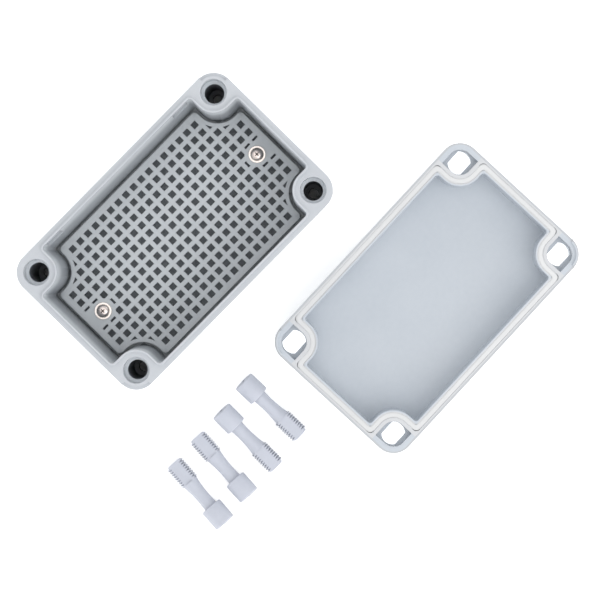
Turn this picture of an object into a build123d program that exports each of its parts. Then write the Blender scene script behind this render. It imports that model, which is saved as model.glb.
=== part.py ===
from build123d import *
import os
from math import atan2, cos, radians, sin, tan

# A sealed junction box, taken apart: the base with its mounting plate stands open, and the
# cover, its inside up, and the four cover screws lie beside it on the same surface.
# Millimetres, +Z up. The origin is the middle of the base's back face, +X along the base.

# Closed box: outside length and width where base and cover meet, and the height of each half
box_length = 130.0
box_width = 80.0
base_height = 52.0
cover_height = 18.0
outer_round = 9.5
outer_draft = 1.0
back_edge_round = 1.5
front_edge_round = 2.5

# Moulded walls
wall = 3.3
floor_thickness = 3.0
cover_thickness = 3.0
inner_draft = 0.8

# Corner columns, which stand inside the walls and carry the cover screws and the wall screws
screw_inset = 9.0
column_round = 9.2
bend_round = 1.5
counterbore_diameter = 11.8
counterbore_depth = 10.0
screw_bore_diameter = 8.8
wall_screw_diameter = 4.5
wall_screw_shelf = 6.0

# Tongue on the base's rim, which presses into the gasket
tongue_width = 0.9
tongue_height = 1.2

# Corner keys: two corners of the base are let down, and the cover's raised corners fill them
key_ring_diameter = 14.6
key_depth = 1.5
key_clearance = 0.2

# Shallow catch pockets inside the long walls
catch_spacing = 80.0
catch_length = 9.0
catch_height = 15.0
catch_depth = 1.2
catch_below_rim = 1.5

# Mounting plate, and the two bosses that carry it
boss_diameter = 9.0
boss_height = 7.0
plate_thickness = 2.0
plate_gap = 1.6
plate_bend_round = 2.0
plate_border = 1.75
border_bend_round = 1.0
grid_pitch = 5.0
grid_hole = 2.95
pad_diameter = 10.9
plate_screw_hole = 4.2

# Plate screws: tapping screws with a flange under the head
shank_diameter = 3.4
shank_length = 8.0
pilot_diameter = 3.5
pilot_depth = 7.5
flange_diameter = 7.9
flange_thickness = 0.7
head_diameter = 6.0
head_side = 0.7
head_crown = 1.3
recess_span = 3.4
recess_width = 0.9
recess_depth = 1.2

# Cover: gasket groove opposite the tongue, and the lugs that the cover screws pass through
groove_width = 2.4
groove_depth = 3.0
groove_bend_round = 2.0
lip_width = 1.0
lug_pocket = 11.6
lug_pocket_depth = 5.0
lug_ledge = 2.6
lug_hole_span = 10.8
lug_hole_flats = 7.9
head_seat_diameter = 11.6

# Gasket: a soft bead that stays a little below the cover's rim
gasket_clearance = 0.05
gasket_height = 2.5
gasket_crown_round = 0.8
gasket_bend_round = 3.4

# Cover screws: a barrel head, a waisted shank, and a thread with two flats
cover_screw_length = 36.5
barrel_diameter = 10.4
barrel_length = 10.1
barrel_round = 0.6
driver_span = 6.4
driver_width = 1.5
driver_depth = 2.5
neck_diameter = 6.6
waist_diameter = 6.2
flare_diameter = 7.6
thread_length = 11.8
thread_run_in = 0.5
thread_diameter = 9.0
thread_depth = 0.8
thread_pitch = 1.5
thread_rings = 6
thread_flats = 6.0
groove_mouth = 1.0
groove_root = 0.3
groove_overlap = 0.1
tip_land = 0.8
tip_chamfer = 0.9

# Where the loose pieces lie: the middle of each, and the way it points
cover_place = (57.9, -101.8)
cover_turn = 1.8
cover_screw_rests = [
    (-28.4, -86.8, -89.1),
    (-46.0, -89.1, -90.9),
    (-63.4, -89.5, 86.6),
    (-79.9, -90.4, 85.8),
]

# Sizes that follow
cavity_length = box_length - 2 * wall
cavity_width = box_width - 2 * wall
column_x = box_length / 2 - screw_inset
column_y = box_width / 2 - screw_inset
tongue_top = base_height + tongue_height
plate_seat = floor_thickness + boss_height
plate_top = plate_seat + plate_thickness
plate_inset = plate_gap + (tongue_top - plate_seat) * tan(radians(inner_draft))
grid_length = cavity_length - 2 * (plate_inset + plate_border)
grid_width = cavity_width - 2 * (plate_inset + plate_border)
grid_columns = int((grid_length - grid_hole) / grid_pitch) + 1
grid_rows = int((grid_width - grid_hole) / grid_pitch) + 1
plate_screw_x = (grid_columns - 3) / 2 * grid_pitch
groove_outside = (tongue_width + groove_width) / 2
groove_inside = (tongue_width - groove_width) / 2
recess_outside = groove_inside - lip_width
seat_depth = cover_height - lug_pocket_depth - lug_ledge
cover_plane = Plane(
    origin=(*cover_place, 0),
    x_dir=(cos(radians(cover_turn)), sin(radians(cover_turn)), 0),
    z_dir=(0, 0, 1),
)

os.makedirs("parts", exist_ok=True)


def save(piece, name):
    """Label a finished piece and write it under the same name."""
    piece.label = name
    export_step(piece, f"parts/{name}.step")


def cavity_outline(grow, outside_round):
    """The opening between the four corner columns, moved outward by grow all round.

    outside_round rounds the eight corners where a column meets a wall.
    """
    with BuildSketch() as outline:
        Rectangle(cavity_length + 2 * grow, 2 * (column_y - column_round + grow))
        Rectangle(2 * (column_x - column_round + grow), cavity_width + 2 * grow)
        corners = outline.vertices().sort_by(SortBy.DISTANCE)
        fillet(corners[4:], outside_round)
        corners = outline.vertices().sort_by(SortBy.DISTANCE)
        fillet(corners[:4], column_round - grow)
    return outline.sketch


def key_outline(side, clearance):
    """Two opposite corners of the rim, outside the ring round each screw hole.

    side is 1 for the corners at +X +Y and -X -Y, and -1 for the other two.
    """
    with BuildSketch() as keys:
        RectangleRounded(box_length - 2 * clearance, box_width - 2 * clearance, outer_round - clearance)
        with Locations((side * box_length / 2, box_width / 2), (-side * box_length / 2, -box_width / 2)):
            Rectangle(2 * (screw_inset - clearance), 2 * (screw_inset - clearance), mode=Mode.INTERSECT)
        with GridLocations(2 * column_x, 2 * column_y, 2, 2):
            Circle(key_ring_diameter / 2 + clearance, mode=Mode.SUBTRACT)
    return keys.sketch


# Base: a drafted, open moulding with a column inside each corner
with BuildPart() as base:
    with BuildSketch(Plane.XY.offset(base_height)):
        RectangleRounded(box_length, box_width, outer_round)
    extrude(amount=-base_height, taper=outer_draft)
    fillet(base.faces().sort_by(Axis.Z)[0].edges(), back_edge_round)

    # Tongue along the rim's inner edge, then the cavity down to the floor
    with BuildSketch(Plane.XY.offset(base_height)):
        add(cavity_outline(tongue_width, bend_round + tongue_width))
    extrude(amount=tongue_height)
    with BuildSketch(Plane.XY.offset(tongue_top)):
        add(cavity_outline(0, bend_round))
    extrude(amount=floor_thickness - tongue_top, taper=inner_draft, mode=Mode.SUBTRACT)

    # Let-down corners for the cover's keys
    with BuildSketch(Plane.XY.offset(base_height)):
        add(key_outline(1, 0))
    extrude(amount=-key_depth, mode=Mode.SUBTRACT)

    # Cover screw bores, stepped at the top, with the wall screw holes below them
    with Locations((0, 0, base_height)):
        with GridLocations(2 * column_x, 2 * column_y, 2, 2):
            CounterBoreHole(
                screw_bore_diameter / 2,
                counterbore_diameter / 2,
                counterbore_depth,
                depth=base_height - wall_screw_shelf,
            )
            Hole(wall_screw_diameter / 2, depth=base_height)

    # Catch pockets, open to the inside
    with Locations((0, 0, base_height - catch_below_rim - catch_height / 2)):
        with GridLocations(catch_spacing, cavity_width, 2, 2):
            Box(catch_length, 2 * catch_depth, catch_height, mode=Mode.SUBTRACT)

    # Plate bosses
    with BuildSketch(Plane.XY.offset(floor_thickness)):
        with GridLocations(2 * plate_screw_x, 0, 2, 1):
            Circle(boss_diameter / 2)
    extrude(amount=boss_height)
    with Locations((0, 0, plate_seat)):
        with GridLocations(2 * plate_screw_x, 0, 2, 1):
            Hole(pilot_diameter / 2, depth=pilot_depth)
save(base.part, "base")


def plate_holes():
    """The grid of square holes, cut short at the plate's border and round its two screw pads."""
    with BuildSketch() as holes:
        with GridLocations(grid_pitch, grid_pitch, grid_columns, grid_rows):
            Rectangle(grid_hole, grid_hole)
        add(cavity_outline(-plate_inset - plate_border, border_bend_round), mode=Mode.INTERSECT)
        with GridLocations(2 * plate_screw_x, 0, 2, 1):
            Circle(pad_diameter / 2, mode=Mode.SUBTRACT)
        with GridLocations(2 * plate_screw_x + grid_length / 2, 0, 2, 1):
            Rectangle(grid_length / 2, pad_diameter, mode=Mode.SUBTRACT)
        with GridLocations(2 * plate_screw_x, 0, 2, 1):
            Circle(plate_screw_hole / 2)
    return holes.sketch


# Mounting plate: the cavity's outline, drawn in to clear the walls and the columns
with BuildPart() as mounting_plate:
    with BuildSketch(Plane.XY.offset(plate_seat)):
        add(cavity_outline(-plate_inset, plate_bend_round))
        add(plate_holes(), mode=Mode.SUBTRACT)
    extrude(amount=plate_thickness, clean=False)
save(mounting_plate.part, "mounting_plate")


def plate_screw(x):
    """A tapping screw that holds the plate down on the boss at x."""
    seat = Plane(origin=(x, 0, plate_top), x_dir=(1, 0, 0), z_dir=(0, 0, 1))
    section = Plane(origin=seat.origin, x_dir=seat.x_dir, z_dir=-seat.y_dir)
    side_top = flange_thickness + head_side
    with BuildPart() as screw:
        with BuildSketch(section):
            with BuildLine():
                Polyline(
                    (0, side_top + head_crown),
                    (0, -shank_length),
                    (shank_diameter / 4, -shank_length),
                    (shank_diameter / 2, -shank_length + shank_diameter / 2),
                    (shank_diameter / 2, 0),
                    (flange_diameter / 2, 0),
                    (flange_diameter / 2, flange_thickness / 2),
                    (head_diameter / 2, flange_thickness),
                    (head_diameter / 2, side_top),
                )
                EllipticalCenterArc((0, side_top), head_diameter / 2, head_crown, arc_size=90)
            make_face()
        revolve(axis=Axis(seat.origin, seat.z_dir))
        with BuildSketch(seat.offset(side_top + head_crown)):
            Rectangle(recess_span, recess_width)
            Rectangle(recess_width, recess_span)
        extrude(amount=-recess_depth, mode=Mode.SUBTRACT)
    return screw.part


for number, x in enumerate((-plate_screw_x, plate_screw_x), start=1):
    save(plate_screw(x), f"plate_screw_{number}")


# Cover: a drafted shell, lying on its outer face
with BuildPart() as cover:
    rim = cover_plane.offset(cover_height)
    with BuildSketch(rim):
        RectangleRounded(box_length, box_width, outer_round)
    extrude(amount=-cover_height, taper=outer_draft)
    fillet(cover.faces().sort_by(Axis.Z)[0].edges(), front_edge_round)

    # Hollow, and the gasket groove with its thin inner lip
    with BuildSketch(rim):
        add(cavity_outline(recess_outside, bend_round))
    extrude(amount=cover_thickness - cover_height, taper=inner_draft, mode=Mode.SUBTRACT)
    with BuildSketch(rim):
        add(cavity_outline(groove_outside, groove_bend_round))
        add(cavity_outline(groove_inside, bend_round), mode=Mode.SUBTRACT)
    extrude(amount=-groove_depth, mode=Mode.SUBTRACT)

    # Raised corners that fill the base's let-down corners
    with BuildSketch(rim):
        add(key_outline(-1, key_clearance))
    extrude(amount=key_depth - key_clearance)

    # Lugs: a pocket from the inside, a two-sided ledge, and a round head seat from outside
    with BuildSketch(rim):
        with Locations((column_x, column_y)):
            pocket = Rectangle(lug_pocket, lug_pocket)
        diagonal = pocket.vertices().sort_by(SortBy.DISTANCE)
        fillet((diagonal[0], diagonal[-1]), lug_pocket / 2)
        mirror(about=Plane.YZ)
        mirror(about=Plane.XZ)
    extrude(amount=-lug_pocket_depth, mode=Mode.SUBTRACT)
    with BuildSketch(cover_plane):
        with GridLocations(2 * column_x, 2 * column_y, 2, 2):
            Circle(lug_hole_span / 2)
        with GridLocations(2 * column_x, 2 * column_y, 2, 2):
            Rectangle(lug_hole_span, lug_hole_flats, mode=Mode.INTERSECT)
    extrude(amount=cover_height, mode=Mode.SUBTRACT)
    with BuildSketch(cover_plane):
        with GridLocations(2 * column_x, 2 * column_y, 2, 2):
            Circle(head_seat_diameter / 2)
    extrude(amount=seat_depth, mode=Mode.SUBTRACT)
save(cover.part, "cover")


# Gasket: a closed bead in the cover's groove
with BuildPart() as gasket:
    with BuildSketch(cover_plane.offset(cover_height - groove_depth)):
        add(cavity_outline(groove_outside - gasket_clearance, gasket_bend_round))
        add(
            cavity_outline(groove_inside + gasket_clearance, gasket_bend_round - groove_width),
            mode=Mode.SUBTRACT,
        )
    extrude(amount=gasket_height)
    fillet(gasket.faces().sort_by(Axis.Z)[-1].edges(), gasket_crown_round)
save(gasket.part, "gasket")


# Cover screw, drawn along +X from its head end, with a flat of its thread up and one down
with BuildPart() as cover_screw:
    barrel = barrel_diameter / 2
    thread_start = cover_screw_length - thread_length
    first_groove = cover_screw_length - tip_land - thread_rings * thread_pitch

    # Turned form: barrel, waist and thread cylinder
    with BuildSketch(Plane.XZ):
        with BuildLine():
            Polyline((0, 0), (0, barrel), (barrel_length, barrel), (barrel_length, neck_diameter / 2))
            ThreePointArc(
                (barrel_length, neck_diameter / 2),
                ((barrel_length + thread_start) / 2, waist_diameter / 2),
                (thread_start, flare_diameter / 2),
            )
            Polyline(
                (thread_start, flare_diameter / 2),
                (thread_start + thread_run_in, thread_diameter / 2),
                (cover_screw_length - tip_chamfer, thread_diameter / 2),
                (cover_screw_length, thread_diameter / 2 - tip_chamfer),
                (cover_screw_length, 0),
                (0, 0),
            )
        make_face()
    revolve(axis=Axis.X)
    barrel_side = cover_screw.faces().filter_by(GeomType.CYLINDER).sort_by(Axis.X)[0]
    fillet(barrel_side.edges().filter_by(GeomType.CIRCLE), barrel_round)

    # Thread grooves, half a pitch apart on the two sides
    for side, shift in ((Axis.X, 0), (-Axis.X, thread_pitch / 2)):
        with BuildSketch(Plane.XZ):
            with Locations(
                *[
                    (first_groove + shift + ring * thread_pitch, thread_diameter / 2)
                    for ring in range(thread_rings)
                ]
            ):
                Polygon(
                    (-groove_mouth / 2, groove_overlap),
                    (-groove_root / 2, -thread_depth),
                    (groove_root / 2, -thread_depth),
                    (groove_mouth / 2, groove_overlap),
                    align=None,
                )
        revolve(axis=side, revolution_arc=180, mode=Mode.SUBTRACT)

    # Flats above and below, which let the thread through the cover's ledges
    for outward in (1, -1):
        with BuildSketch(Plane.XY.offset(outward * thread_flats / 2)):
            with Locations((thread_start + thread_length / 2, 0)):
                Rectangle(thread_length, thread_diameter)
        extrude(amount=outward * thread_diameter, mode=Mode.SUBTRACT)

    # Cross recess in the head
    with BuildSketch(Plane.YZ):
        Rectangle(driver_span, driver_width)
        Rectangle(driver_width, driver_span)
    extrude(amount=driver_depth, mode=Mode.SUBTRACT)


def cover_screw_rest(x, y, heading):
    """The plane of a cover screw that lies on one flat of its thread and on its barrel's edge."""
    head_contact = barrel_length - barrel_round
    flat_to_tip = thread_diameter / 2 - tip_chamfer - thread_flats / 2
    tip_contact = cover_screw_length + min(flat_to_tip, 0)
    lie = atan2(barrel - thread_flats / 2, tip_contact - head_contact)
    level = Vector(cos(radians(heading)), sin(radians(heading)), 0)
    upright = Vector(0, 0, 1)
    head_end = (
        Vector(x, y, 0)
        - level * (cover_screw_length / 2 * cos(lie))
        + upright * (head_contact * sin(lie) + barrel * cos(lie))
    )
    return Plane(
        origin=head_end,
        x_dir=level * cos(lie) - upright * sin(lie),
        z_dir=level * sin(lie) + upright * cos(lie),
    )


for number, rest in enumerate(cover_screw_rests, start=1):
    save(cover_screw.part.moved(cover_screw_rest(*rest).location), f"cover_screw_{number}")
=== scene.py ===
from math import atan2, copysign, cos, hypot, pi, radians, sin, tau

import bpy
from mathutils import Matrix, Vector


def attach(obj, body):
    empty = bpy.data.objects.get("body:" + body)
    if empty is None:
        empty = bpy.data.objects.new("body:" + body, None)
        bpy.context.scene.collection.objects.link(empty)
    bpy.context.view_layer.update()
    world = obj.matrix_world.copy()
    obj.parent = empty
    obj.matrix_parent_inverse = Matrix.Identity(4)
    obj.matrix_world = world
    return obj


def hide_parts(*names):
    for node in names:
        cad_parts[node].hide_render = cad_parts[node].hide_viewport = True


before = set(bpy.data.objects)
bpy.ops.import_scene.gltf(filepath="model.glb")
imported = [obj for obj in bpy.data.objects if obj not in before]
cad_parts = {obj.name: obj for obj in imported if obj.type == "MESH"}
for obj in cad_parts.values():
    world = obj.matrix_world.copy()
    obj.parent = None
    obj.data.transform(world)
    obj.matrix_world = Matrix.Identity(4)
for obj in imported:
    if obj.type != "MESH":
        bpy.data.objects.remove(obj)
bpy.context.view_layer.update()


# Base
# An open box, injection moulded in light grey ABS: drafted walls, a column in each corner and a
# thin tongue round the rim. The mould leaves every edge with a small round.

# Sizes in metres, from the middle of the box and from the table
base_edge_round = 0.00018
weld_distance = 1e-6
rim_height = 0.052
plate_top = 0.012
plate_underside = 0.010
plate_inset = 0.0024
cavity_half = (0.0617, 0.0367)
column_middle = (0.056, 0.031)
column_round = 0.0092
far = 1.0

# The plastic's two tones, the painted shade and light inside the box, and where they show
base_light = "#BFC3C8"
base_shade = "#B5B9BF"
base_painted_shade = "#7F858A"
deepest = 0.6
wall_light = "#D3D7DB"
wall_light_from = 0.034
wall_light_to = 0.046
gap_painted_light = "#C4C8CB"
column_deep = "#70767B"
column_deepest = 0.5
column_deep_from = 0.042
column_from = (0.0480, 0.0230)
collar_painted_light = "#DFE3E7"
collar_floor = 0.0415
collar_reach = 0.0061
bore_reach = 0.0048
cavity_skin = 0.0012
ledge_skin = 0.0006
floor_skin = 0.0015

# What moulding leaves on any plastic, with the sizes of its marks in millimetres
flow_mark_size = 34
draw_mark_size = 2.4
draw_mark_stretch = 0.04
draw_mark_share = 0.4
marks_from = 0.42
marks_to = 0.98
shrink_wave_size = 16
shrink_wave_height = 0.12
shrink_wave_strength = 0.6
grain_strength = 0.7
plastic_ior = 1.53


def linear(colour):
    """The linear RGBA of an sRGB hex colour."""
    values = [int(colour[start:start + 2], 16) / 255 for start in (1, 3, 5)]
    return [v / 12.92 if v <= 0.04045 else ((v + 0.055) / 1.055) ** 2.4 for v in values] + [1.0]


def add_node(tree, kind, inputs=None, **settings):
    """A shader node with its settings, and its inputs given as values or as other nodes' sockets."""
    node = tree.nodes.new(kind)
    for name, value in settings.items():
        setattr(node, name, value)
    for socket, value in (inputs or {}).items():
        if isinstance(value, bpy.types.NodeSocket):
            tree.links.new(value, node.inputs[socket])
        else:
            node.inputs[socket].default_value = value
    return node


def per_metre(millimetres):
    """The noise scale whose features are this many millimetres wide."""
    return 1000 / millimetres


def select_only(piece):
    """Make one piece the only one that the next operators act on."""
    bpy.ops.object.select_all(action="DESELECT")
    piece.select_set(True)
    bpy.context.view_layer.objects.active = piece


def apply_modifier(piece, kind, **settings):
    """Add a modifier with its settings and apply it."""
    select_only(piece)
    modifier = piece.modifiers.new(kind.title(), kind)
    for name, value in settings.items():
        setattr(modifier, name, value)
    bpy.ops.object.modifier_apply(modifier=modifier.name)


def merged_copy(node, name):
    """A copy of a construction piece with its loose facets joined."""
    piece = bpy.data.objects.new(name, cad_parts[node].data.copy())
    bpy.context.scene.collection.objects.link(piece)
    piece.data.name = name
    select_only(piece)
    bpy.ops.mesh.customdata_custom_splitnormals_clear()
    bpy.ops.object.mode_set(mode="EDIT")
    bpy.ops.mesh.select_all(action="SELECT")
    bpy.ops.mesh.remove_doubles(threshold=weld_distance)
    bpy.ops.object.mode_set(mode="OBJECT")
    return piece


def round_edges(piece, edge_round, sharp=30):
    """Round every edge sharper than this angle, and shade the flat faces flat up to the rounds."""
    apply_modifier(
        piece, "BEVEL", width=edge_round, segments=2, limit_method="ANGLE",
        angle_limit=radians(sharp), use_clamp_overlap=False, loop_slide=False,
    )
    select_only(piece)
    bpy.ops.object.shade_smooth()
    apply_modifier(piece, "WEIGHTED_NORMAL", mode="FACE_AREA", weight=100)


def moulded_plastic(name, light, shade, grain, grain_depth, roughness, roughness_spread):
    """Opaque moulded plastic.

    Slow flow marks shift the colour, draw marks run up the walls as the mould opened, fine grain
    breaks the gloss, and shallow waves, as the plastic shrinks, bend the reflections.
    """
    material = bpy.data.materials.new(name)
    material.use_nodes = True
    tree = material.node_tree
    shader = tree.nodes["Principled BSDF"]
    place = add_node(tree, "ShaderNodeTexCoord").outputs["Object"]
    flow = add_node(
        tree, "ShaderNodeTexNoise", {"Vector": place, "Scale": per_metre(flow_mark_size), "Detail": 3.0},
    )
    drawn_up = add_node(
        tree, "ShaderNodeMapping", {"Vector": place, "Scale": (1.0, 1.0, draw_mark_stretch)},
    )
    draw_marks = add_node(
        tree, "ShaderNodeTexNoise",
        {"Vector": drawn_up.outputs["Vector"], "Scale": per_metre(draw_mark_size), "Detail": 2.0},
    )
    marks = add_node(
        tree, "ShaderNodeMath",
        {0: draw_marks.outputs["Fac"], 1: draw_mark_share, 2: flow.outputs["Fac"]},
        operation="MULTIPLY_ADD",
    )
    tone = add_node(
        tree, "ShaderNodeMapRange",
        {"Value": marks.outputs["Value"], "From Min": marks_from, "From Max": marks_to},
    )
    flow_colour = add_node(
        tree, "ShaderNodeMix", {"Factor": tone.outputs["Result"], "A": linear(light), "B": linear(shade)},
        data_type="RGBA",
    )
    tree.links.new(flow_colour.outputs["Result"], shader.inputs["Base Color"])
    grain_noise = add_node(
        tree, "ShaderNodeTexNoise", {"Vector": place, "Scale": per_metre(grain), "Detail": 4.0},
    )
    gloss = add_node(
        tree, "ShaderNodeMapRange",
        {
            "Value": grain_noise.outputs["Fac"],
            "To Min": roughness - roughness_spread,
            "To Max": roughness + roughness_spread,
        },
    )
    tree.links.new(gloss.outputs["Result"], shader.inputs["Roughness"])
    waves = add_node(
        tree, "ShaderNodeTexNoise", {"Vector": place, "Scale": per_metre(shrink_wave_size), "Detail": 1.0},
    )
    wave_bump = add_node(
        tree, "ShaderNodeBump",
        {
            "Height": waves.outputs["Fac"],
            "Distance": shrink_wave_height / 1000,
            "Strength": shrink_wave_strength,
        },
    )
    grain_bump = add_node(
        tree, "ShaderNodeBump",
        {
            "Height": grain_noise.outputs["Fac"],
            "Distance": grain_depth / 1000,
            "Strength": grain_strength,
            "Normal": wave_bump.outputs["Normal"],
        },
    )
    tree.links.new(grain_bump.outputs["Normal"], shader.inputs["Normal"])
    shader.inputs["IOR"].default_value = plastic_ior
    return material


def blend_colour(material, colour, *masks):
    """Let another colour show as far as all of these masks do."""
    tree = material.node_tree
    colour_input = tree.nodes["Principled BSDF"].inputs["Base Color"]
    factor = 1.0
    for mask in masks:
        both = add_node(tree, "ShaderNodeMath", {0: mask, 1: factor}, operation="MULTIPLY")
        factor = both.outputs["Value"]
    mix = add_node(
        tree, "ShaderNodeMix",
        {"Factor": factor, "A": colour_input.links[0].from_socket, "B": linear(colour)},
        data_type="RGBA",
    )
    tree.links.new(mix.outputs["Result"], colour_input)


def where(tree, *limits):
    """1 where each of these values lies between its two limits, and 0 elsewhere."""
    mask = 1.0
    for value, low, high in limits:
        between = add_node(
            tree, "ShaderNodeMath", {0: value, 1: (low + high) / 2, 2: (high - low) / 2},
            operation="COMPARE",
        )
        both = add_node(
            tree, "ShaderNodeMath", {0: between.outputs["Value"], 1: mask}, operation="MULTIPLY",
        )
        mask = both.outputs["Value"]
    return mask


def box_distances(tree, place):
    """A place's distances in the directions of the box, which the base and the cover share.

    X, Y and Z are from the middle, and outward is from the cavity's outline. from_bore is from the
    nearest column's axis, and so are past_column and before_column, but these two only count what
    lies farther out and farther in than the axis.
    """
    mirrored = add_node(tree, "ShaderNodeVectorMath", {0: place}, operation="ABSOLUTE").outputs["Vector"]
    sides = add_node(tree, "ShaderNodeSeparateXYZ", {0: mirrored}).outputs
    from_walls = add_node(
        tree, "ShaderNodeVectorMath", {0: mirrored, 1: (*cavity_half, 0)}, operation="SUBTRACT",
    )
    wall_sides = add_node(tree, "ShaderNodeSeparateXYZ", {0: from_walls.outputs["Vector"]}).outputs
    past_walls = add_node(
        tree, "ShaderNodeMath", {0: wall_sides["X"], 1: wall_sides["Y"]}, operation="MAXIMUM",
    )
    from_axis = add_node(
        tree, "ShaderNodeVectorMath",
        {0: mirrored, 1: (1, 1, 0), 2: (-column_middle[0], -column_middle[1], 0)},
        operation="MULTIPLY_ADD",
    ).outputs["Vector"]
    lengths = {}
    for name, side in (("from_bore", None), ("past_column", "MAXIMUM"), ("before_column", "MINIMUM")):
        part = from_axis
        if side:
            one_side = add_node(tree, "ShaderNodeVectorMath", {0: from_axis, 1: (0, 0, 0)}, operation=side)
            part = one_side.outputs["Vector"]
        length = add_node(tree, "ShaderNodeVectorMath", {0: part}, operation="LENGTH")
        lengths[name] = length.outputs["Value"]
    into_column = add_node(
        tree, "ShaderNodeMath", {0: column_round, 1: lengths["before_column"]}, operation="SUBTRACT",
    )
    outward = add_node(
        tree, "ShaderNodeMath",
        {0: past_walls.outputs["Value"], 1: into_column.outputs["Value"]}, operation="MAXIMUM",
    )
    middle = {"X": sides["X"], "Y": sides["Y"], "Z": sides["Z"]}
    return {**middle, "outward": outward.outputs["Value"], **lengths}


def dress(piece, material, node):
    """Give a piece its material and let it stand for a construction piece."""
    piece.data.materials.clear()
    piece.data.materials.append(material)
    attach(piece, "root")
    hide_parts(node)


# ABS from a spark-eroded mould: an even, fine satin grain. Such a grain is typically near 0.1 mm,
# too fine for the picture, so it is drawn 0.6 mm wide. Inside the box, light and shade are painted
# into the colour: painted shade darker with depth, most of all low on the columns, and painted light
# high up on the walls, at the tops of the bores and in the slot beside the plate.
base_plastic = moulded_plastic(
    "ABS, spark-eroded satin", base_light, base_shade,
    grain=0.6, grain_depth=0.012, roughness=0.46, roughness_spread=0.06,
)
base_tree = base_plastic.node_tree
base_spot = box_distances(base_tree, add_node(base_tree, "ShaderNodeTexCoord").outputs["Object"])
in_cavity = (base_spot["outward"], -far, cavity_skin)
above_floor = (base_spot["Z"], floor_skin, far)
below_ledge = (base_spot["Z"], -far, rim_height - ledge_skin)
# Painted shade: the cavity is drawn darker with depth
depth = add_node(
    base_tree, "ShaderNodeMapRange",
    {"Value": base_spot["Z"], "From Min": rim_height, "From Max": plate_underside, "To Max": deepest},
)
blend_colour(base_plastic, base_painted_shade, depth.outputs["Result"], where(base_tree, in_cavity, above_floor))
# Painted shade down the bores, darker with depth
in_bore = where(base_tree, (base_spot["from_bore"], -far, bore_reach), above_floor)
blend_colour(base_plastic, base_painted_shade, depth.outputs["Result"], in_bore)
# Painted light in the slot beside the plate
beside_plate = where(
    base_tree, (base_spot["outward"], -plate_inset, cavity_skin), (base_spot["Z"], floor_skin, plate_top),
)
blend_colour(base_plastic, gap_painted_light, beside_plate)
# Painted light high up on the inner walls, below the ledge
high_up = add_node(
    base_tree, "ShaderNodeMapRange",
    {"Value": base_spot["Z"], "From Min": wall_light_from, "From Max": wall_light_to},
)
blend_colour(base_plastic, wall_light, high_up.outputs["Result"], where(base_tree, in_cavity, below_ledge))
# Painted shade, darkest low on the columns
column_depth = add_node(
    base_tree, "ShaderNodeMapRange",
    {
        "Value": base_spot["Z"],
        "From Min": column_deep_from,
        "From Max": plate_top,
        "To Max": column_deepest,
    },
)
on_column = where(
    base_tree, in_cavity, above_floor,
    (base_spot["X"], column_from[0], far), (base_spot["Y"], column_from[1], far),
)
blend_colour(base_plastic, column_deep, column_depth.outputs["Result"], on_column)
# Painted light on the collars at the tops of the bores
in_collar = where(
    base_tree, (base_spot["from_bore"], -far, collar_reach),
    (base_spot["Z"], collar_floor, rim_height - ledge_skin),
)
blend_colour(base_plastic, collar_painted_light, in_collar)
base_shell = merged_copy("base", "base_shell")
round_edges(base_shell, base_edge_round)
dress(base_shell, base_plastic, "base")


# Mounting plate
# A loose ABS plate with square holes on a 5 mm pitch, for the boards and terminals in the box. It
# is moulded flat, lies on two bosses of the base and is held there by two screws.

plate_edge_round = 0.00012
plate_light = "#CCD1D4"
plate_shade = "#C3C8CC"

# ABS from a smooth mould: a flatter satin than the box. Its grain is too fine for the picture, so
# it is drawn 0.5 mm wide.
plate_plastic = moulded_plastic(
    "ABS, satin plate", plate_light, plate_shade,
    grain=0.5, grain_depth=0.008, roughness=0.42, roughness_spread=0.05,
)
plate = merged_copy("mounting_plate", "perforated_plate")
round_edges(plate, plate_edge_round)
dress(plate, plate_plastic, "mounting_plate")


# Plate screws
# Tapping screws of nickel-plated steel. The pan head is cold formed in one with its flange, the
# cross recess is punched, and the thread is rolled.

plate_screw_x = max(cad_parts["plate_screw_2"].data.vertices, key=lambda v: v.co.z).co.x
plate_screw_sides = 64
plate_screw_sharp_angle = 22
pole_radius = 0.0002
flange_radius = 0.00395
head_radius = 0.0030
thread_core = 0.00135
thread_crest = 0.0017
thread_pitch = 0.0010
thread_turns = 6
thread_end = -0.0066
screw_tip = -0.0080
thread_form = [(thread_core, 0.1), (thread_crest, 0.5), (thread_crest, 0.6), (thread_core, 0.95)]

# The radius and height of each ring, from the tip to the crown, with the plate's top at 0
screw_profile = [
    (pole_radius, screw_tip),
    (thread_core, thread_end),
    *[
        (radius, thread_end + (turn + part) * thread_pitch)
        for turn in range(thread_turns)
        for radius, part in thread_form
    ],
    (thread_core, -0.0001),
    (flange_radius - 0.0003, 0.0),
    (flange_radius, 0.0002),
    (flange_radius, 0.00045),
    (flange_radius - 0.0001, 0.0006),
    (head_radius + 0.0001, 0.00062),
    (head_radius - 0.0001, 0.0013),
    (head_radius - 0.0002, 0.0016),
    (head_radius - 0.0007, 0.0021),
    (head_radius - 0.0009, 0.0022),
    (head_radius - 0.0012, 0.00232),
    (head_radius - 0.0016, 0.00243),
    (head_radius - 0.0021, 0.00252),
    (pole_radius, 0.00257),
]
crown_radius = 0.0022
crown_foot = 0.0020
recess_span = 0.0034
recess_width = 0.0009
recess_depth = 0.0014
recess_taper = 0.6
steel_light = "#EFE8E3"
steel_dark = "#CFC5BE"
steel_crown = "#E2D6D1"
recess_painted_shade = "#4A4340"

# What forming and plating leave on the metal, with sizes in millimetres
forming_ring = 0.3
forming_ring_height = 0.02
forming_ring_strength = 0.5
stain_size = 1.1
metal_roughness = 0.24
metal_roughness_spread = 0.08


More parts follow.
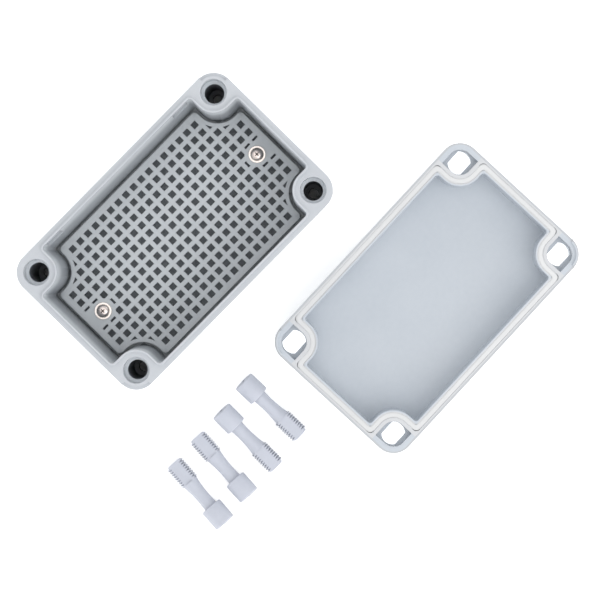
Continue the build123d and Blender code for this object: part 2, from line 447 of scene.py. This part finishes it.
def turned_piece(name, middle, profile, sides):
    """A turned solid: a disc, extruded upwards and resized from one (radius, height) to the next."""
    bpy.ops.object.select_all(action="DESELECT")
    radius, height = profile[0]
    bpy.ops.mesh.primitive_circle_add(
        vertices=sides, radius=radius, fill_type="NGON",
        location=(middle[0], middle[1], middle[2] + height),
    )
    piece = bpy.context.active_object
    piece.name = piece.data.name = name
    bpy.ops.object.transform_apply(location=True, rotation=True, scale=True)
    bpy.ops.object.mode_set(mode="EDIT")
    bpy.ops.mesh.select_all(action="SELECT")
    for next_radius, next_height in profile[1:]:
        rise = (0, 0, next_height - height)
        bpy.ops.mesh.extrude_region_move(TRANSFORM_OT_translate={"value": rise})
        scale = next_radius / radius
        bpy.ops.transform.resize(
            value=(scale, scale, 1), center_override=(middle[0], middle[1], middle[2] + next_height),
        )
        radius, height = next_radius, next_height
    bpy.ops.mesh.select_all(action="SELECT")
    bpy.ops.mesh.normals_make_consistent(inside=False)
    bpy.ops.object.mode_set(mode="OBJECT")
    return piece


def cut_bar(piece, middle, size, taper):
    """Cut a bar out of a piece from above, narrower at its bottom than at its top."""
    bpy.ops.object.select_all(action="DESELECT")
    bpy.ops.mesh.primitive_cube_add(size=1, location=middle, scale=(size[0], size[1], 2 * size[2]))
    bar = bpy.context.active_object
    bpy.ops.object.transform_apply(location=True, rotation=True, scale=True)
    for vertex in bar.data.vertices:
        vertex.select = vertex.co.z < middle[2]
    bpy.ops.object.mode_set(mode="EDIT")
    bpy.ops.transform.resize(value=(taper, taper, 1), center_override=middle)
    bpy.ops.object.mode_set(mode="OBJECT")
    apply_modifier(piece, "BOOLEAN", object=bar, operation="DIFFERENCE", solver="EXACT")
    bpy.data.objects.remove(bar)


def formed_metal(name, light, dark, head_x):
    """Bright metal, cold formed: fine rings round the two heads break up what they mirror."""
    material = bpy.data.materials.new(name)
    material.use_nodes = True
    tree = material.node_tree
    shader = tree.nodes["Principled BSDF"]
    place = add_node(tree, "ShaderNodeTexCoord").outputs["Object"]
    mirrored = add_node(tree, "ShaderNodeVectorMath", {0: place}, operation="ABSOLUTE")
    from_middle = add_node(
        tree, "ShaderNodeVectorMath", {0: mirrored.outputs["Vector"], 1: (head_x, 0, plate_top)},
        operation="SUBTRACT",
    )
    radius = add_node(tree, "ShaderNodeVectorMath", {0: from_middle.outputs["Vector"]}, operation="LENGTH")
    rings = add_node(
        tree, "ShaderNodeTexNoise",
        {"W": radius.outputs["Value"], "Scale": per_metre(forming_ring), "Detail": 2.0},
        noise_dimensions="1D",
    )
    stain = add_node(
        tree, "ShaderNodeTexNoise", {"Vector": place, "Scale": per_metre(stain_size), "Detail": 3.0},
    )
    colour = add_node(
        tree, "ShaderNodeMix", {"Factor": stain.outputs["Fac"], "A": linear(light), "B": linear(dark)},
        data_type="RGBA",
    )
    tree.links.new(colour.outputs["Result"], shader.inputs["Base Color"])
    gloss = add_node(
        tree, "ShaderNodeMapRange",
        {
            "Value": stain.outputs["Fac"],
            "To Min": metal_roughness - metal_roughness_spread,
            "To Max": metal_roughness + metal_roughness_spread,
        },
    )
    tree.links.new(gloss.outputs["Result"], shader.inputs["Roughness"])
    bump = add_node(
        tree, "ShaderNodeBump",
        {
            "Height": rings.outputs["Fac"],
            "Distance": forming_ring_height / 1000,
            "Strength": forming_ring_strength,
        },
    )
    tree.links.new(bump.outputs["Normal"], shader.inputs["Normal"])
    shader.inputs["Metallic"].default_value = 1.0
    return material


# Nickel plate on cold-formed steel: warm, bright and a little cloudy. The rings from the die are
# drawn 0.3 mm wide, less than a pixel of the photograph, so they only break up what the metal
# mirrors. The crown is a shade darker than the flange, and the recess is painted dark as shade,
# because hardly any light comes out of it.
nickel = formed_metal(
    "Nickel-plated steel, cold formed", steel_light, steel_dark, head_x=plate_screw_x,
)
nickel_tree = nickel.node_tree
nickel_place = add_node(nickel_tree, "ShaderNodeTexCoord").outputs["Object"]
nickel_mirrored = add_node(nickel_tree, "ShaderNodeVectorMath", {0: nickel_place}, operation="ABSOLUTE")
from_screw = add_node(
    nickel_tree, "ShaderNodeVectorMath",
    {0: nickel_mirrored.outputs["Vector"], 1: (1, 1, 0), 2: (-plate_screw_x, 0, 0)},
    operation="MULTIPLY_ADD",
)
off_axis = add_node(
    nickel_tree, "ShaderNodeVectorMath", {0: from_screw.outputs["Vector"]}, operation="LENGTH",
)
nickel_height = add_node(nickel_tree, "ShaderNodeSeparateXYZ", {0: nickel_place})
on_crown = (off_axis.outputs["Value"], -far, crown_radius)
blend_colour(nickel, steel_crown, where(nickel_tree, on_crown))
# Painted shade in the cross recess
below_crown = (nickel_height.outputs["Z"], plate_top, plate_top + crown_foot)
blend_colour(nickel, recess_painted_shade, where(nickel_tree, on_crown, below_crown))
for number, screw_x in enumerate((-plate_screw_x, plate_screw_x), start=1):
    screw_seat = (screw_x, 0.0, plate_top)
    screw = turned_piece(f"flange_screw_{number}", screw_seat, screw_profile, plate_screw_sides)
    recess_top = (screw_x, 0.0, plate_top + screw_profile[-1][1])
    cut_bar(screw, recess_top, (recess_span, recess_width, recess_depth), recess_taper)
    cut_bar(screw, recess_top, (recess_width, recess_span, recess_depth), recess_taper)
    select_only(screw)
    bpy.ops.object.shade_smooth_by_angle(angle=radians(plate_screw_sharp_angle))
    dress(screw, nickel, f"plate_screw_{number}")


# Cover
# A shallow shell of the same ABS, lying on its face: a groove for the gasket runs along its rim,
# and a lug in each corner takes a cover screw. It is moulded in one piece.

cover_place = (0.0579, -0.1018)
cover_turn = 1.8
cover_edge_round = 0.00018
cover_light = "#C0C6CD"
cover_shade = "#B8BFC7"
rim_light = "#C7C9CC"
rim_light_from = -0.0011
rim_light_to = 0.0034
rim_light_above = 0.0125
edge_painted_shade = "#B4B7BB"
edge_line = 0.0009
edge_from_column = 0.0090


def on_cover(tree):
    """The same distances for the cover as it lies: from its middle, in its own directions."""
    place = add_node(tree, "ShaderNodeTexCoord").outputs["Object"]
    turned = add_node(
        tree, "ShaderNodeMapping",
        {"Vector": place, "Location": (*cover_place, 0), "Rotation": (0, 0, radians(cover_turn))},
        vector_type="TEXTURE",
    )
    return box_distances(tree, turned.outputs["Vector"])


# ABS from a finer mould: smoother than the base and a little bluer. Its grain is too fine for the
# picture, so it is drawn 0.7 mm wide. Painted light lightens the rim beside the groove and the
# groove's walls, and painted shade darkens a thin band along the outer edge and down the outer walls.
cover_plastic = moulded_plastic(
    "ABS, smooth inside", cover_light, cover_shade,
    grain=0.7, grain_depth=0.006, roughness=0.40, roughness_spread=0.04,
)
cover_tree = cover_plastic.node_tree
cover_spot = on_cover(cover_tree)
# Painted light on the rim beside the groove and on the groove's walls
beside_groove = where(
    cover_tree, (cover_spot["outward"], rim_light_from, rim_light_to),
    (cover_spot["Z"], rim_light_above, far),
)
blend_colour(cover_plastic, rim_light, beside_groove)
# Painted shade along the outer edge and down the outer walls
at_edge = where(cover_tree, (cover_spot["past_column"], edge_from_column - edge_line, far))
blend_colour(cover_plastic, edge_painted_shade, at_edge)
cover_shell = merged_copy("cover", "cover_shell")
round_edges(cover_shell, cover_edge_round)
dress(cover_shell, cover_plastic, "cover")


# Gasket
# Off-white foam, poured into the cover's groove as one closed bead. It foams up to the rim and
# sticks there, and the base's tongue presses into it when the box is closed.

foam_light = "#D8D9DA"
foam_shade = "#D1D2D3"
bead_sharp_angle = 40
bead_flank_foot = 0.0150
bead_fatter = 0.00015
bead_swell = 0.00078
bead_crown_foot = 0.0166
bead_crown_flatness = 0.4
bead_bends = [(0.0470, 0.0372), (0.0622, 0.0220)]
bend_fill = 0.00026
bend_reach = 0.0020

# Foamed polyurethane with a thin skin: matt, and dimpled by its pores. These are too fine for the
# picture, so they are drawn 0.5 mm wide.
foam = moulded_plastic(
    "Foamed polyurethane", foam_light, foam_shade,
    grain=0.5, grain_depth=0.03, roughness=0.8, roughness_spread=0.05,
)
bead = merged_copy("gasket", "gasket_bead")
to_cover = Matrix.Translation((*cover_place, 0)) @ Matrix.Rotation(radians(cover_turn), 4, "Z")

# The foam fills the bends of the groove, swells against its walls and rises to the rim
for vertex in bead.data.vertices:
    spot = to_cover.inverted() @ vertex.co
    for bend in bead_bends:
        beyond = (abs(spot.x) - bend[0], abs(spot.y) - bend[1])
        push = bend_fill * max(0.0, 1 - hypot(*beyond) / bend_reach)
        if sum(beyond) > 0:
            vertex.co += to_cover.to_3x3() @ Vector((copysign(push, spot.x), copysign(push, spot.y), 0))
for vertex in bead.data.vertices:
    vertex.select = vertex.co.z > bead_flank_foot
bpy.ops.object.mode_set(mode="EDIT")
bpy.ops.transform.shrink_fatten(value=bead_fatter)
bpy.ops.object.mode_set(mode="OBJECT")
for vertex in bead.data.vertices:
    vertex.select = vertex.co.z > bead_crown_foot
bpy.ops.object.mode_set(mode="EDIT")
bpy.ops.transform.translate(value=(0, 0, bead_swell))
bpy.ops.transform.resize(
    value=(1, 1, bead_crown_flatness), center_override=(0, 0, bead_crown_foot + bead_swell),
)
bpy.ops.object.mode_set(mode="OBJECT")
select_only(bead)
bpy.ops.object.shade_smooth_by_angle(angle=radians(bead_sharp_angle))
dress(bead, foam, "gasket")


# Cover screws
# Moulded nylon screws: a barrel head with a cross recess, a waisted shank, and a single thread
# between two flats, which let it through the two-sided ledges of the cover's lugs.

long_screw_length = 0.0365
barrel_radius = 0.0052
barrel_length = 0.0101
barrel_round = 0.0006
neck_radius = 0.0033
waist_radius = 0.0031
flare_radius = 0.0038
waist_steps = 12
long_thread_start = 0.0247
long_thread_rise = 0.0003
long_thread_crest = 0.0045
long_thread_depth = 0.0008
long_thread_pitch = 0.00125
long_thread_run = (0.0251, 0.0360)
ring_spacing = 0.000125
ring_count = 84
groove_mouth = 0.3
groove_floor = 0.1
crest_margin = 0.00001
flat_height = 0.0030
past_tip = 0.0010
block_width = 0.02
tip_chamfer = 0.0009
sliver = 2e-6
long_screw_sides = 72
long_screw_sharp_angle = 28
driver_span = 0.0056
driver_width = 0.0011
driver_depth = 0.0008
nylon_light = "#C0C4CF"
nylon_shade = "#B7BBC6"
nylon_painted_shade = "#80858F"
side_tone_from = 0.5
side_tone_to = 0.1
side_tone_most = 0.62

# Where each screw's middle lies, and the way that its tip points, in degrees
screw_rests = [
    (-0.0284, -0.0868, -89.1),
    (-0.0460, -0.0891, -90.9),
    (-0.0634, -0.0895, 86.6),
    (-0.0799, -0.0904, 85.8),
]


def shank_radius(part):
    """The shank's radius, from 0 at the barrel to 1 at the thread."""
    ends = neck_radius + (flare_radius - neck_radius) * part
    return ends - 4 * part * (1 - part) * ((neck_radius + flare_radius) / 2 - waist_radius)


def groove_depth(place, angle):
    """How deep the thread's groove is at a place along the screw and an angle round it.

    Its mouth and its floor reach this share of the pitch to either side of its middle.
    """
    if not long_thread_run[0] < place < long_thread_run[1]:
        return 0.0
    from_middle = abs((place / long_thread_pitch - angle / tau) % 1 - 0.5)
    slope = (groove_mouth - from_middle) / (groove_mouth - groove_floor)
    return long_thread_depth * min(1.0, max(0.0, slope))


# The radius and height of each ring, from the head to the tip. The barrel's two rounds are quarter
# turns of four steps, and the rings of the thread lie close, for the groove to be pressed in.
long_screw_profile = [
    (pole_radius, 0.0),
    (barrel_radius - barrel_round, 0.0),
    *[
        (
            barrel_radius - barrel_round * (1 - sin(step * pi / 8)),
            barrel_round * (1 - cos(step * pi / 8)),
        )
        for step in (1, 2, 3, 4)
    ],
    *[
        (
            barrel_radius - barrel_round * (1 - cos(step * pi / 8)),
            barrel_length - barrel_round * (1 - sin(step * pi / 8)),
        )
        for step in (0, 1, 2, 3, 4)
    ],
    *[
        (
            shank_radius(step / waist_steps),
            barrel_length + (long_thread_start - barrel_length) * step / waist_steps,
        )
        for step in range(waist_steps + 1)
    ],
    (long_thread_crest, long_thread_start + long_thread_rise),
    *[(long_thread_crest, long_thread_run[0] + ring_spacing * step) for step in range(ring_count)],
    (long_thread_crest, long_screw_length - tip_chamfer),
    (long_thread_crest - tip_chamfer, long_screw_length),
    (pole_radius, long_screw_length),
]


def cut_block(piece, middle, size):
    """Cut a square block out of a piece."""
    bpy.ops.object.select_all(action="DESELECT")
    bpy.ops.mesh.primitive_cube_add(size=1, location=middle, scale=size)
    block = bpy.context.active_object
    bpy.ops.object.transform_apply(location=True, rotation=True, scale=True)
    apply_modifier(piece, "BOOLEAN", object=block, operation="DIFFERENCE", solver="EXACT")
    bpy.data.objects.remove(block)


# Nylon with the satin of its mould: a little bluer and smoother than the box. Its grain is too fine
# for the picture, so it is drawn 0.6 mm wide. Its upright sides carry painted shade, darker than
# its top, since the light comes from above.
nylon = moulded_plastic(
    "Nylon, moulded satin", nylon_light, nylon_shade,
    grain=0.6, grain_depth=0.008, roughness=0.45, roughness_spread=0.05,
)
nylon_tree = nylon.node_tree
# Painted shade on the upright sides, by how far each face turns from straight up or down
nylon_normal = add_node(nylon_tree, "ShaderNodeNewGeometry").outputs["Normal"]
mirrored_normal = add_node(nylon_tree, "ShaderNodeVectorMath", {0: nylon_normal}, operation="ABSOLUTE")
facing = add_node(nylon_tree, "ShaderNodeSeparateXYZ", {0: mirrored_normal.outputs["Vector"]})
upright = add_node(
    nylon_tree, "ShaderNodeMapRange",
    {
        "Value": facing.outputs["Z"],
        "From Min": side_tone_from,
        "From Max": side_tone_to,
        "To Max": side_tone_most,
    },
)
blend_colour(nylon, nylon_painted_shade, upright.outputs["Result"])

# One screw is shaped upright, head down, and then copied to its four places
pattern_screw = turned_piece("pattern_screw", (0, 0, 0), long_screw_profile, long_screw_sides)
for vertex in pattern_screw.data.vertices:
    angle = atan2(vertex.co.y, vertex.co.x)
    on_crest = hypot(vertex.co.x, vertex.co.y) > long_thread_crest - crest_margin
    if on_crest and vertex.co.z > long_thread_start:
        depth = groove_depth(vertex.co.z, angle)
        vertex.co.x -= depth * cos(angle)
        vertex.co.y -= depth * sin(angle)
flat_thickness = long_thread_crest
flat_length = long_screw_length - long_thread_start
for side in (1, -1):
    flat_outward = side * (flat_height + flat_thickness / 2)
    cut_block(
        pattern_screw,
        (0, flat_outward, long_thread_start + flat_length / 2 + past_tip / 2),
        (block_width, flat_thickness, flat_length + past_tip),
    )
cut_block(pattern_screw, (0, 0, 0), (driver_span, driver_width, 2 * driver_depth))
cut_block(pattern_screw, (0, 0, 0), (driver_width, driver_span, 2 * driver_depth))
select_only(pattern_screw)
bpy.ops.object.mode_set(mode="EDIT")
bpy.ops.mesh.select_all(action="SELECT")
bpy.ops.mesh.remove_doubles(threshold=sliver)
bpy.ops.mesh.dissolve_degenerate(threshold=sliver)
bpy.ops.mesh.quads_convert_to_tris()
bpy.ops.mesh.dissolve_degenerate(threshold=sliver)
bpy.ops.object.mode_set(mode="OBJECT")
bpy.ops.object.shade_smooth_by_angle(angle=radians(long_screw_sharp_angle))

# Each screw lies on its barrel's edge and on the end of one flat
lie = atan2(barrel_radius - flat_height, long_screw_length - (barrel_length - barrel_round))
for number, (rest_x, rest_y, heading) in enumerate(screw_rests, start=1):
    screw = bpy.data.objects.new(f"long_screw_{number}", pattern_screw.data.copy())
    screw.data.name = screw.name
    bpy.context.scene.collection.objects.link(screw)
    along_x = Matrix.Rotation(pi / 2, 4, "Y") @ Matrix.Rotation(pi / 2, 4, "Z")
    head_end = Vector((
        -long_screw_length / 2 * cos(lie),
        0,
        (barrel_length - barrel_round) * sin(lie) + barrel_radius * cos(lie),
    ))
    laid = Matrix.Translation(head_end) @ Matrix.Rotation(lie, 4, "Y") @ along_x
    turned = Matrix.Translation((rest_x, rest_y, 0)) @ Matrix.Rotation(radians(heading), 4, "Z")
    screw.data.transform(turned @ laid)
    dress(screw, nylon, f"cover_screw_{number}")
bpy.data.objects.remove(pattern_screw)


# Table
# A plain white sheet under everything, wide enough to fill the view. It glows a little, so that it
# stays white in the parts' shade, most of all through the cover's lugs, but not in the base's bores.

table_size = 4.0
table_glow = 0.35
glow_under_cover = 1.0
card_white = "#F7F7F7"
glow_white = "#FFFFFF"
card_roughness = 0.9

# Half the length and half the width that each shell hides, a little within its outline
cover_shadow = (0.0630, 0.0380)
base_shadow = (0.0626, 0.0376)

bpy.ops.object.select_all(action="DESELECT")
bpy.ops.mesh.primitive_plane_add(size=table_size, location=(0, 0, 0))
table = bpy.context.active_object
table.name = "table"

# Matt white card, lit from below like a light table: no gloss, and hardly any shadow.
card = bpy.data.materials.new("Matt white card")
card.use_nodes = True
card_tree = card.node_tree
card_shader = card_tree.nodes["Principled BSDF"]
card_spot = box_distances(card_tree, add_node(card_tree, "ShaderNodeTexCoord").outputs["Object"])
under_base = where(
    card_tree, (card_spot["X"], -far, base_shadow[0]), (card_spot["Y"], -far, base_shadow[1]),
)
card_by_cover = on_cover(card_tree)
under_cover = where(
    card_tree, (card_by_cover["X"], -far, cover_shadow[0]), (card_by_cover["Y"], -far, cover_shadow[1]),
)
glow = add_node(
    card_tree, "ShaderNodeMapRange",
    {"Value": under_cover, "To Min": table_glow, "To Max": glow_under_cover},
)
glow_with_shade = add_node(
    card_tree, "ShaderNodeMapRange",
    {"Value": under_base, "To Min": glow.outputs["Result"], "To Max": 0.0},
)
card_tree.links.new(glow_with_shade.outputs["Result"], card_shader.inputs["Emission Strength"])
card_shader.inputs["Emission Color"].default_value = linear(glow_white)
card_shader.inputs["Base Color"].default_value = linear(card_white)
card_shader.inputs["Roughness"].default_value = card_roughness
table.data.materials.append(card)


# Studio light
# A white room, bright at eye level, dimmer higher up and bright again overhead, with one broad
# soft lamp on the -Y side.

room_strength = 1.6
lamp_place = Vector((0.12, -0.90, 1.0))
lamp_aim = Vector((0.02, -0.05, 0.02))
lamp_size = 1.0
lamp_power = 4.5

# How high each tone stands, from 0 at eye level to 1 overhead, and how bright it is
room_light = [(0.02, 1.0), (0.38, 0.95), (0.55, 0.48), (0.82, 0.50), (0.92, 0.78)]

world = bpy.data.worlds.new("White room")
bpy.context.scene.world = world
world.use_nodes = True
room = world.node_tree
direction = add_node(room, "ShaderNodeTexCoord").outputs["Generated"]
upward = add_node(room, "ShaderNodeSeparateXYZ", {0: direction})
room_tones = add_node(room, "ShaderNodeValToRGB", {"Fac": upward.outputs["Z"]})
for height, tone in room_light:
    stop = room_tones.color_ramp.elements.new(height)
    stop.color = (tone, tone, tone, 1)
room.links.new(room_tones.outputs["Color"], room.nodes["Background"].inputs["Color"])
room.nodes["Background"].inputs["Strength"].default_value = room_strength

side_lamp = bpy.data.objects.new("side_lamp", bpy.data.lights.new("side_lamp", "AREA"))
side_lamp.data.size = lamp_size
side_lamp.data.energy = lamp_power
side_lamp.location = lamp_place
side_lamp.rotation_euler = (lamp_aim - lamp_place).to_track_quat("-Z", "Y").to_euler()
bpy.context.scene.collection.objects.link(side_lamp)


# Camera
# Straight above, as in the photograph, turned so that the box's long side rises to the right. It is
# about a metre over the rim, from where the box's inner walls show a little.

# The scale is in pixels to the metre, and the lens looks down on the axis, at its pixel
picture_size = 600
scale_at_rim = 2255.0
camera_over_rim = 1.080
camera_turn = -45.5
axis_place = (0.0338, -0.0602)
axis_pixel = (325, 272)
sensor_width = 36.0

eye = bpy.data.objects.new("camera", bpy.data.cameras.new("camera"))
eye.data.sensor_width = sensor_width
eye.data.lens = scale_at_rim * camera_over_rim * sensor_width / picture_size
eye.data.shift_x = (picture_size / 2 - axis_pixel[0]) / picture_size
eye.data.shift_y = (axis_pixel[1] - picture_size / 2) / picture_size
eye.data.clip_end = 10
eye.location = (*axis_place, rim_height + camera_over_rim)
eye.rotation_euler = (0, 0, radians(camera_turn))
bpy.context.scene.collection.objects.link(eye)
bpy.context.scene.camera = eye
bpy.context.scene.view_settings.view_transform = "Standard"
